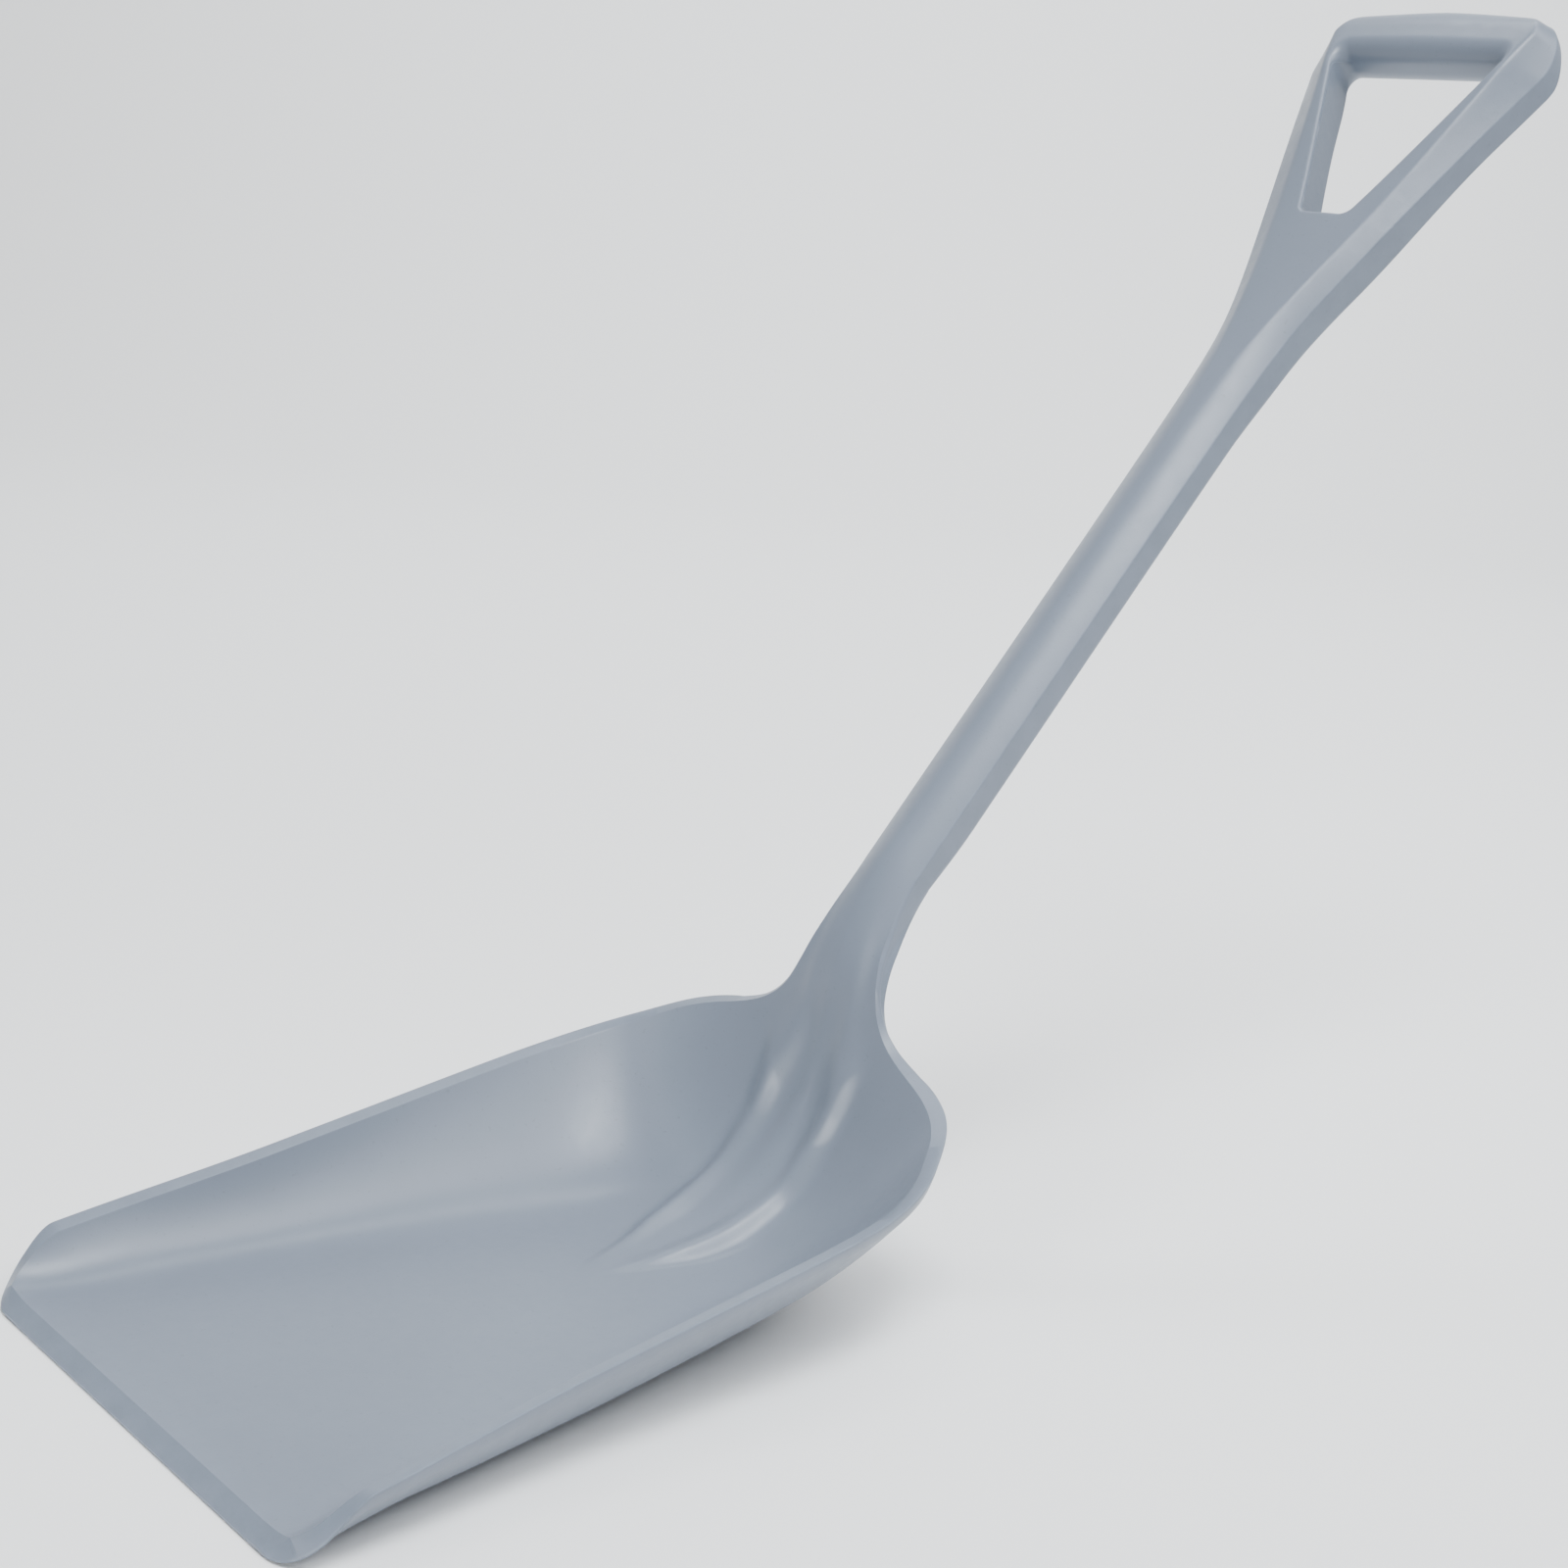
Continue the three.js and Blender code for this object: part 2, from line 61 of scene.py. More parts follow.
FLOOR, WALL, NECK_WALL = 6.6, 6.8, 4.0
EDGE_THIN, BEVEL = 0.9, 6.4
HALF_WIDTH, FRONT_FLARE, WALL_LEAN, WALL_RUN, CORNER_R = 125.55, 4.4, 6.0, 32.0, 17.0
RIM_START, RIM_SLOPE = 21.5, 0.148
RIM_BAND, RIM_FALL, RIM_LIP = 7.0, 1.8, 1.6
FLAT_END, ROW_LAG = 215.0, 22.0
SHOULDER_X, SHOULDER_Y, SHOULDER_R, SHOULDER_RISE = 53.0, 294.0, 71.0, 31.0
BACK_Y, BACK_R = 257.0, 112.0
CURVE_FRONT, CURVE_BACK, CURVE_SHOULDER, CURVE_SHAFT = 3.5, 1.8, 1.6, 1.4
FLAT_MOUTH, FLAT_FRONT, FLAT_BACK, FLAT_SHOULDER = 0.8, 0.64, 0.42, 0.1
RIM_TURN, LEAN_TURN, FLARE_FADE, FLOOR_FORMED = (-2, WALL_RUN), (-4, WALL_RUN), (20, 140), 60
SHOULDER_CLIMB, RISE_STEADY, RISE_EASED = (8, 50), 0.35, 0.65
NECK_TURN = 82.0

# parts of the neck's length, 0 to 1, over which it changes from pan to shaft
NECK_FIRST, NECK_LAST, NECK_BAND, NECK_THINS = (0, 0.5), (0.5, 1), (-0.1, 0.55), (0, 0.4)
NECK_FILLS, NECK_FLATTENS = (0.1, 1), (0.6, 1)

NOSE_Y = 220.0
RIDGE_HALF, RIDGE_OPEN, RIDGE_SOFT = 25.0, 60.0, 6.5
SWELL_RISE, RIB_RISE, RIB_WIDTH, SPINE_RISE, SPINE_WIDTH = 3.8, 2.6, 7.0, 2.7, 9.0
RIDGE_SHARE = 0.58  # in the narrow neck, of its half width
RIDGE_CRISP, RIB_NOSE_WIDTH = 1.5, 4
# distances past the fairing's nose over which its forms grow
SOFT_GROWS, SWELL_GROWS, RIB_GROWS, RIB_WIDENS, SPINE_GROWS = (0, 90), (0, 60), (0, 75), (0, 80), (60, 150)

SHAFT_Y, SHAFT_Z, SHAFT_START, SHEET_RISE = 391.6, 164.0, 10.0, 2.0
SHAFT_HALF, CROWN = 18.3, 13.0
CLIMB = (440.0, 30.0, 0.1)
FLARE = (359.0, 30.0, 0.295)
CREST = (330.0, 45.0, 0.27)
SIDE_TOP_SHAFT, SIDE_TOP_GRIP = 4.3, 9.3
SIDE_LOW_NECK, SIDE_LOW_SHAFT, SIDE_LOW_WEB, SIDE_LOW_GRIP = -1.0, -8.0, -10.0, -4.0
# distances along the handle over which one form turns into the next
NECK_TO_SHAFT, SHAFT_TO_WEB, WEB_TO_GRIP, SIDE_TOP_TURN = (-50, 50), (290, 340), (400, 500), (330, 520)
BELLY_SHAFT, BELLY_GRIP = 4.0, 2.5
EDGE_BAND, WEB_CROWN = 0.8, 0.8
CROWN_POWER, CREST_SOFT, CREST_FORMS = 1.55, 1.1, (300.0, 400.0)
HOLE_START, HOLE_HALF, HOLE_SPREAD = 434.0, 14.5, 0.37
HOLE_FILLET_START, HOLE_FILLET_END, HOLE_ROUND = 4.0, 10.0, 2.2
BAR_MID, BAR_HALF, BAR_RISE, BAR_LIFT, BAR_BOW, BAR_SEAM = 557.9, 15.5, 13.0, 10.4, 4.5, 2.5
BAR_ROUND, BAR_SQUARE, BAR_LEAD = 10.0, 2.4, 25
CREST_INSET = 9.0  # least width of the slanted outer faces
GRIP_CORNER_LENGTH, GRIP_CORNER_DEPTH, GRIP_CORNER_POWER = 37.0, 25.0, 1.7
BAR_START, BAR_END = BAR_MID - BAR_HALF, BAR_MID + BAR_HALF
PLUG_AT, PLUG_HOLE, PLUG_HOLE_ENDS, PLUG_STEPS = 352.0, 4.3, (-20.0, -5.9), 64

RIM_ROUND, LIP_ROUND, ROUND_STEPS = 1.1, 1.6, 5
WEAR_REACH, RIM_WEAR = 9.0, 0.45
SHARP_ANGLE = math.radians(38)

# blurs that soften two turns: their widths, and where along the rim or the rows each fades in and out
BACK_EASE, BACK_EASE_IN, BACK_EASE_OUT = 26.0, (130, 230), (360, 400)
NECK_EASE, NECK_EASE_IN, NECK_EASE_OUT = 7.0, np.array([-45, -15]), np.array([2, 14])

# grid density
FRONT_ROWS, PAN_ROWS, SHOULDER_ROWS, NECK_ROWS = 34, 92, 74, 64
SHAFT_ROWS, ARM_ROWS, HOLE_END_ROWS, BAR_ROWS = 130, 34, 14, 41
MID_COLUMNS, ARM_COLUMNS = 34, 44
EDGE = MID_COLUMNS + ARM_COLUMNS  # the column on the rim's inner edge
MID_SHARE, PAN_MID_SHARE, BACK_MID_SHARE, MOST_SHARE, SHARE_LEAD = 0.44, 0.32, 0.62, 0.8, 50

ALONG = np.array([0, math.cos(LIFT), math.sin(LIFT)])
ABOVE = np.array([0, -math.sin(LIFT), math.cos(LIFT)])
UP = np.array([0.0, 0, 1])


# ---------- helpers ----------
def lerp(a, b, t):
    return a + (b - a) * t


def smooth(x, low, high):
    t = np.clip((x - low) / (high - low), 0, 1)
    return t * t * (3 - 2 * t)


def soft_rise(a, mid, soft, slope):
    """Straight rise of the given slope from mid on, with a soft start."""
    return slope * (a - mid + np.hypot(a - mid, soft)) / 2


def catmull(points, t):
    """Point at t (0 to 1) on a centripetal Catmull-Rom curve through the points."""
    points = [np.asarray(p, float) for p in points]
    spans = len(points) - 1
    i = min(int(t * spans), spans - 1)
    u = t * spans - i
    p1, p2 = points[i], points[i + 1]
    p0 = points[i - 1] if i > 0 else 2 * p1 - p2
    p3 = points[i + 2] if i + 2 <= spans else 2 * p2 - p1
    pairs = (p0, p1), (p1, p2), (p2, p3)
    d0, d1, d2 = (max(np.linalg.norm(b - a) ** 0.5, 1e-4) for a, b in pairs)
    t1 = ((p1 - p0) / d0 - (p2 - p0) / (d0 + d1) + (p2 - p1) / d1) * d1
    t2 = ((p2 - p1) / d1 - (p3 - p1) / (d1 + d2) + (p3 - p2) / d2) * d1
    return (
        (2 * u**3 - 3 * u**2 + 1) * p1
        + (u**3 - 2 * u**2 + u) * t1
        + (3 * u**2 - 2 * u**3) * p2
        + (u**3 - u**2) * t2
    )


# ---------- the handle, in its own frame ----------
def shaft_point(a, x, n):
    return np.array([x, SHAFT_Y, SHAFT_Z]) + ALONG * a + ABOVE * n


def handle_half(a):
    corner = np.clip((a - BAR_END + GRIP_CORNER_LENGTH) / GRIP_CORNER_LENGTH, 0, 1)
    cut = GRIP_CORNER_DEPTH * (1 - (1 - corner**GRIP_CORNER_POWER) ** (1 / GRIP_CORNER_POWER))
    return SHAFT_HALF + soft_rise(a, *FLARE) - cut


def corner_cut(distance, radius):
    left = np.clip(radius - distance, 0, radius)
    return radius - np.sqrt(radius**2 - left**2)


def hole_line(a):
    """Half width of the grip opening before its corners are rounded."""
    return HOLE_HALF + HOLE_SPREAD * (a - HOLE_START)


def hole_half(a):
    corners = corner_cut(a - HOLE_START, HOLE_FILLET_START) + corner_cut(BAR_START - a, HOLE_FILLET_END)
    return hole_line(a) - corners


def bar_rise(a):
    across = np.clip((a - BAR_MID) / BAR_HALF, -1, 1)
    return max(BAR_SEAM, BAR_RISE * (1 - abs(across) ** BAR_SQUARE) ** (1 / BAR_SQUARE))


def to_outer_edge(a):
    return smooth(a, BAR_MID, BAR_END)


def to_seam(a):
    return smooth(a, BAR_START, BAR_END)


def side_top(a):
    arm = lerp(SIDE_TOP_SHAFT, SIDE_TOP_GRIP, smooth(a, *SIDE_TOP_TURN))
    return lerp(arm, BAR_LIFT + BAR_SEAM, to_seam(a))


def side_low(a):
    shaft = lerp(SIDE_LOW_NECK, SIDE_LOW_SHAFT, smooth(a, *NECK_TO_SHAFT))
    web = lerp(shaft, SIDE_LOW_WEB, smooth(a, *SHAFT_TO_WEB))
    return lerp(lerp(web, SIDE_LOW_GRIP, smooth(a, *WEB_TO_GRIP)), BAR_LIFT - BAR_SEAM, to_seam(a))


def hole_distance(a, x):
    """Distance from the opening's outline, and 0 beside an arm to 1 beside the crossbar."""
    u = max(a - BAR_START + HOLE_FILLET_END, 0)
    v = np.maximum(np.abs(x) - hole_line(a) + HOLE_FILLET_END, 0)
    far = np.hypot(u, v) - HOLE_FILLET_END
    u_near = max(HOLE_START + HOLE_FILLET_START - a, 0)
    v_near = np.maximum(np.abs(x) - max(hole_line(a) - HOLE_FILLET_START, 0), 0)
    near = np.hypot(u_near, v_near) - HOLE_FILLET_START
    turn = np.arctan2(u, v + 1e-6) * 2 / math.pi if u > 0 else np.zeros_like(v)
    return np.maximum(np.maximum(far, near), 0), smooth(turn, 0, 1)


def swell(distance, reach):
    """Quarter-round rise, 0 at the edge and 1 at its full reach."""
    left = 1 - np.clip(distance / reach, 0, 1)
    return np.sqrt(1 - left * left)


def to_bar(a, on_arm, on_bar, seam):
    """Height of the middle plane's outline: the arm's, then the crossbar's down to its outer seam."""
    inner = lerp(on_arm, on_bar, smooth(a, BAR_START - BAR_LEAD, BAR_MID))
    return inner if a < BAR_MID else lerp(seam, inner, bar_rise(a) / BAR_RISE)


def with_opening(a, x, full, rounding, seam):
    """Rounds the surface off toward the grip opening, more at the crossbar than at an arm."""
    distance, turn = hole_distance(a, x)
    start = lerp(full + rounding, seam, turn)
    return start + (full - start) * swell(distance, lerp(HOLE_ROUND, BAR_ROUND, turn))


def handle_top(a, x):
    crest = soft_rise(a, *CREST)
    crest_top = to_bar(a, CROWN + soft_rise(a, *CLIMB), BAR_LIFT + BAR_RISE, BAR_LIFT + BAR_SEAM)
    half = handle_half(a)
    crest = min(crest, half - CREST_INSET)
    dome = 1 - np.clip((np.abs(x) - crest) / (half - crest), 0, 1) ** CROWN_POWER
    fall = lambda d: (d + np.hypot(d, CREST_SOFT)) / 2
    flat = 1 - np.clip((fall(np.abs(x) - crest) - fall(-crest)) / (fall(half - crest) - fall(-crest)), 0, 1)
    shape = lerp(dome, flat, smooth(a, *CREST_FORMS))
    web = WEB_CROWN * np.maximum(0, 1 - (x / crest) ** 2) * smooth(a, CREST[0], HOLE_START)
    full = side_top(a) + (crest_top - side_top(a)) * shape + web * (1 - to_outer_edge(a))
    return with_opening(a, x, full, -HOLE_ROUND, BAR_LIFT + BAR_SEAM)


def handle_belly(a, x):
    across = np.clip(np.abs(x) / handle_half(a), 0, 1)
    depth = lerp(BELLY_SHAFT, BELLY_GRIP, smooth(a, *WEB_TO_GRIP))
    deepest = to_bar(a, side_low(a) - depth, BAR_LIFT - BAR_RISE, BAR_LIFT - BAR_SEAM)
    full = side_low(a) + (deepest - side_low(a)) * np.sqrt(1 - across**4)
    return with_opening(a, x, full, HOLE_ROUND, BAR_LIFT - BAR_SEAM)


# ---------- rows, from the middle plane to the rim ----------
def rim_height(y):
    return lerp(EDGE_THIN, RIM_START + RIM_SLOPE * y, smooth(y, *RIM_TURN))


def pan_half(y):
    flare = FRONT_FLARE * (1 - smooth(y, *FLARE_FADE))
    lean = WALL_LEAN * (1 - smooth(y, *LEAN_TURN))
    corner = CORNER_R - math.sqrt(CORNER_R**2 - max(0, CORNER_R - y) ** 2)
    return HALF_WIDTH + flare - lean - corner


def pan_row(y):
    wall = smooth(y, 0, WALL_RUN)
    back = smooth(y, FLOOR_FORMED, SHOULDER_Y)
    rim = np.array([pan_half(y), y, rim_height(y)])
    return dict(
        rim=rim,
        inner=np.array([rim[0] - RIM_BAND, y, rim[2] + lerp(FLOOR - EDGE_THIN, -RIM_FALL, wall)]),
        mid=np.array([0, y - ROW_LAG * smooth(y, FLAT_END, SHOULDER_Y), FLOOR]),
        lip=lerp(EDGE_THIN, RIM_LIP, wall),
        wall=lerp(FLOOR, WALL, wall),
        flat=lerp(FLAT_MOUTH, lerp(FLAT_FRONT, FLAT_BACK, back), smooth(y, 0, FLOOR_FORMED)),
        curve=lerp(CURVE_FRONT, CURVE_BACK, back),
        share=PAN_MID_SHARE,
        bevel=max(0, 1 - y / BEVEL) * (FLOOR - EDGE_THIN),
        solid=0.0,
    )


def back_arc(climb):
    angle = math.radians(climb)
    return np.array([0, BACK_Y + BACK_R * math.sin(angle), FLOOR + BACK_R * (1 - math.cos(angle))])


def shoulder_row(turn):
    t = turn / 90
    outward = np.array([math.cos(math.radians(turn)), math.sin(math.radians(turn)), 0])
    rise = SHOULDER_RISE * (RISE_STEADY * t + RISE_EASED * smooth(t, 0, 1))
    rim = np.array([SHOULDER_X, SHOULDER_Y, rim_height(SHOULDER_Y) + rise]) + outward * SHOULDER_R
    return dict(
        rim=rim,
        inner=rim - outward * RIM_BAND - UP * RIM_FALL,
        mid=back_arc(lerp(*SHOULDER_CLIMB, t)),
        lip=RIM_LIP,
        wall=WALL,
        flat=lerp(FLAT_BACK, FLAT_SHOULDER, t),
        curve=lerp(CURVE_BACK, CURVE_SHOULDER, t),
        share=lerp(PAN_MID_SHARE, BACK_MID_SHARE, t * t),
        bevel=0.0,
        solid=0.0,
    )


NECK_RIM = [
    shoulder_row(NECK_TURN - 12)["rim"], shoulder_row(NECK_TURN)["rim"],
    (45, 365, 102.5), (34, 365.3, 113), (28, 367, 125),
    (24.4, 371.7, 138), (21.6, 379, 150.7), (19.3, 387, 163.2),
    shaft_point(SHAFT_START, SHAFT_HALF, SIDE_TOP_SHAFT), shaft_point(24, SHAFT_HALF, SIDE_TOP_SHAFT),
]
NECK_MID = [
    shoulder_row(NECK_TURN - 12)["mid"], shoulder_row(NECK_TURN)["mid"],
    back_arc(54), back_arc(64), back_arc(76), back_arc(88), (0, 375, 136), (0, 385, 154),
    shaft_point(SHAFT_START, 0, SHEET_RISE), shaft_point(24, 0, SHEET_RISE),
]
NECK_SPANS = len(NECK_RIM) - 1


def neck_row(t):
    shoulder = shoulder_row(NECK_TURN)
    at = lerp(1, NECK_SPANS - 1, t) / NECK_SPANS
    turned = math.radians(NECK_TURN) * (1 - smooth(t, *NECK_FIRST))
    outward = np.array([math.cos(turned), math.sin(turned), 0])
    band = lerp(RIM_BAND, EDGE_BAND, smooth(t, *NECK_BAND))
    rim = catmull(NECK_RIM, at)
    inner = rim - outward * band - UP * RIM_FALL * (1 - smooth(t, *NECK_FIRST))
    return dict(
        rim=rim,
        inner=inner + ABOVE * (SHEET_RISE - SIDE_TOP_SHAFT) * smooth(t, *NECK_LAST),
        mid=catmull(NECK_MID, at),
        lip=lerp(RIM_LIP, side_top(SHAFT_START) - side_low(SHAFT_START), smooth(t, *NECK_LAST)),
        wall=lerp(WALL, NECK_WALL, smooth(t, *NECK_THINS)),
        flat=shoulder["flat"] * (1 - t),
        curve=lerp(shoulder["curve"], CURVE_SHAFT, t),
        share=lerp(shoulder["share"], MID_SHARE, t),
        bevel=0.0,
        solid=smooth(t, *NECK_FILLS),
        plane=smooth(t, *NECK_FLATTENS),
    )


def shaft_row(a):
    half = handle_half(a)
    bow = BAR_BOW * smooth(a, BAR_START, BAR_END)
    hole_share = hole_half(max(a, HOLE_START)) / half
    return dict(
        rim=shaft_point(a, half, side_top(a)),
        inner=shaft_point(a, half - EDGE_BAND, SHEET_RISE),
        mid=shaft_point(a + bow, 0, SHEET_RISE),
        lip=side_top(a) - side_low(a),
        wall=WALL,
        flat=0.0,
        curve=CURVE_SHAFT,
        share=lerp(MID_SHARE, min(MOST_SHARE, hole_share), smooth(a, HOLE_START - SHARE_LEAD, HOLE_START)),
        bevel=0.0,
        solid=1.0,
        a=a,
        open=HOLE_START <= a < BAR_START - 1e-6,
    )


def all_rows():
    """Every row from the mouth to the crossbar, each with its run: the distance along the middle plane."""
    mouth = [0, 0.3, 0.8, 1.6, 2.6, 3.8, 5.0, 5.8, 6.2, 6.4, 6.7, 7.3, 8.6, 10.6]
    front = np.concatenate([mouth, np.linspace(12.5, FLOOR_FORMED, FRONT_ROWS)])
    half_turn = np.cos(np.linspace(0, math.pi, BAR_ROWS))
    before_hole = HOLE_START - np.array([2.2, 1.6, 1.0, 0.5, 0.2])
    hole = np.concatenate([
        HOLE_START + np.array([0, 0.1, 0.4, 0.9, 1.6, 2.6, 4]),
        np.linspace(HOLE_START + 7, BAR_START - 15, ARM_ROWS),
        BAR_START - 15 * (1 - np.sin(np.linspace(0, math.pi / 2, HOLE_END_ROWS)))[1:-1],
        [BAR_START - 0.05],
    ])
    rows = [pan_row(y) for y in front]
    rows += [pan_row(y) for y in np.linspace(FLOOR_FORMED, SHOULDER_Y, PAN_ROWS)[1:-1]]
    rows += [shoulder_row(turn) for turn in np.linspace(0, NECK_TURN, SHOULDER_ROWS)[:-1]]
    rows += [neck_row(t) for t in np.linspace(0, 1, NECK_ROWS)[:-1]]
    rows += [shaft_row(a) for a in np.linspace(SHAFT_START, HOLE_START - 3, SHAFT_ROWS)]
    rows += [shaft_row(a) for a in np.concatenate([before_hole, hole])]
    rows += [shaft_row(BAR_MID - BAR_HALF * c) for c in half_turn]
    run = 0.0
    for i, row in enumerate(rows):
        if i:
            run += float(np.linalg.norm(row["mid"] - rows[i - 1]["mid"]))
        row["run"] = run
    return rows


# ---------- surface grid ----------
def clustered(count, ends):
    """0 to 1 in count steps, closer together toward the marked ends."""
    t = np.linspace(0, 1, count + 1)
    if ends == "both":
        return lerp(t, (1 - np.cos(np.pi * t)) / 2, 0.8)
    return lerp(t, 1 - (1 - t) ** 2, 0.8)


MID_STEPS = clustered(MID_COLUMNS, "end")
ARM_STEPS = clustered(ARM_COLUMNS, "both")


def column_shares(share):
    half = np.concatenate([share * MID_STEPS, lerp(share, 1, ARM_STEPS)[1:]])
    return np.concatenate([-half[:0:-1], half])


def grid_points(row):
    """Points of a row from the left inner edge to the right one."""
    signed = column_shares(row["share"])
    s = np.abs(signed)
    rise = np.clip((s - row["flat"]) / (1 - row["flat"]), 0, 1) ** row["curve"]
    mid, inner = row["mid"], row["inner"]
    return np.stack([inner[0] * signed, lerp(mid[1], inner[1], s * s), lerp(mid[2], inner[2], rise)], 1)


def fairing(past, x, inner_half):
    """Height of the fairing past its nose: a low swell, a rib along each side and a spine."""
    if past <= 0:
        return np.zeros_like(x)
    half = min(RIDGE_HALF * (1 - math.exp(-past / RIDGE_OPEN)), RIDGE_SHARE * inner_half)
    beyond = np.maximum(0, np.abs(x) - half) / (RIDGE_CRISP + RIDGE_SOFT * smooth(past, *SOFT_GROWS))
    swell_height = SWELL_RISE * smooth(past, *SWELL_GROWS) * np.exp(-(beyond**2))
    rib_width = lerp(RIB_NOSE_WIDTH, RIB_WIDTH, smooth(past, *RIB_WIDENS))
    ribs = RIB_RISE * smooth(past, *RIB_GROWS) * np.exp(-(((np.abs(x) - half) / rib_width) ** 2))
    spine = SPINE_RISE * smooth(past, *SPINE_GROWS) * np.exp(-((x / SPINE_WIDTH) ** 2))
    return swell_height + ribs + spine


def offsets(row):
    """How far the top and the bottom lie from a row's points, in the pan and then in the solid handle."""
    signed = column_shares(row["share"])
    s = np.abs(signed)
    x = row["inner"][0] * signed
    wall_share = np.clip((s - row["flat"]) / (1 - row["flat"]), 0, 1) ** 2
    a = row.get("a", SHAFT_START)
    across = x if "a" in row else signed * (SHAFT_HALF - EDGE_BAND)
    pan_top = fairing(row["run"] - NOSE_Y, x, row["inner"][0]) - row["bevel"]
    pan_bottom = lerp(FLOOR, row["wall"], wall_share)
    top = lerp(pan_top, handle_top(a, across) - SHEET_RISE, row["solid"])
    bottom = lerp(pan_bottom, SHEET_RISE - handle_belly(a, across), row["solid"] ** 2)
    return top, bottom


def unit(v):
    return v / np.maximum(np.linalg.norm(v, axis=-1, keepdims=True), 1e-9)


def rounded(before, corner, after, radius, count):
    """Points that round a corner between its neighbours."""
    reach_a = min(radius, 0.45 * np.linalg.norm(before - corner))
    reach_b = min(radius, 0.45 * np.linalg.norm(after - corner))
    start, end = corner + unit(before - corner) * reach_a, corner + unit(after - corner) * reach_b
    t = np.linspace(0, 1, count)[:, None]
    return (1 - t) ** 2 * start + 2 * t * (1 - t) * corner + t**2 * end


def rim_strip(row, top_edge, bottom_edge, side):
    """Points over the rim, from the top sheet's edge to the bottom sheet's."""
    corner = row["rim"] * [side, 1, 1]
    down = unit(lerp(UP, ABOVE, row["solid"]))
    low = corner - down * row["lip"]
    upper = rounded(top_edge, corner, low, RIM_ROUND, ROUND_STEPS)
    lower = rounded(corner, low, bottom_edge, LIP_ROUND, ROUND_STEPS)
    return np.concatenate([upper, lower])


def eased(rows, grid):
    """The grid with the turn into the round back softened, then the turn into the neck."""
    rim = np.array([row["rim"] for row in rows])
    run = np.concatenate([[0], np.cumsum(np.linalg.norm(np.diff(rim, axis=0), axis=1))])
    back = smooth(run, *BACK_EASE_IN) * (1 - smooth(run, *BACK_EASE_OUT))
    grid = blurred(grid, run, BACK_EASE, back[:, None] * np.ones(grid.shape[1]))
    steps = np.linalg.norm(np.diff(grid, axis=0), axis=2).mean(axis=1)
    run = np.concatenate([[0], np.cumsum(steps)])
    first = next(i for i, row in enumerate(rows) if "plane" in row)
    last = next(i for i, row in enumerate(rows) if "a" in row)
    fade_in = smooth(run, *(run[first] + NECK_EASE_IN))
    weight = fade_in * (1 - smooth(run, *(run[last] + NECK_EASE_OUT)))
    inside = np.ones(grid.shape[1])
    inside[-1] = 0
    return blurred(grid, run, NECK_EASE, weight[:, None] * inside)


def blurred(grid, run, width, weight):
    """Gaussian blur of every column along the rows, width in millimetres of run."""
    even = np.arange(0, run[-1], 1.0)
    reach = int(3 * width)
    kernel = np.exp(-0.5 * (np.arange(-reach, reach + 1) / width) ** 2)
    kernel /= kernel.sum()
    result = grid.copy()
    for c in range(grid.shape[1]):
        for axis in range(3):
            line = np.interp(even, run, grid[:, c, axis])
            line = np.convolve(np.pad(line, reach, mode="edge"), kernel, mode="valid")
            result[:, c, axis] = np.interp(run, even, line)
    return lerp(grid, result, weight[:, :, None])


def body_rings():
    """Every row as one ring: top sheet, right rim, bottom sheet back to the left, left rim."""
    rows = all_rows()
    rims = np.array([row["rim"] for row in rows])[:, None]
    whole = np.array([grid_points(row) for row in rows])
    whole = eased(rows, np.concatenate([whole, rims], axis=1))
    grid = whole[:, :-1]
    for row, rim in zip(rows, whole[:, -1]):
        row["rim"] = rim
    across = np.gradient(grid, axis=1)
    along = np.gradient(grid, axis=0)
    normal = unit(np.cross(across, along))
    plane = np.array([row.get("plane", row["solid"]) for row in rows])
    normal = unit(lerp(normal, ABOVE, plane[:, None, None]))
    rings = []
    for row, points, n in zip(rows, grid, normal):
        top_offset, bottom_offset = offsets(row)
        top = points + n * top_offset[:, None]
        bottom = points - n * bottom_offset[:, None]
        right = rim_strip(row, top[-1], bottom[-1], 1)
        left = rim_strip(row, top[0], bottom[0], -1)
        rings.append(np.concatenate([top, right, bottom[::-1], left[::-1]]))
    return rows, np.maximum(rings, [-math.inf, 0, 0])  # the mouth is cut off straight


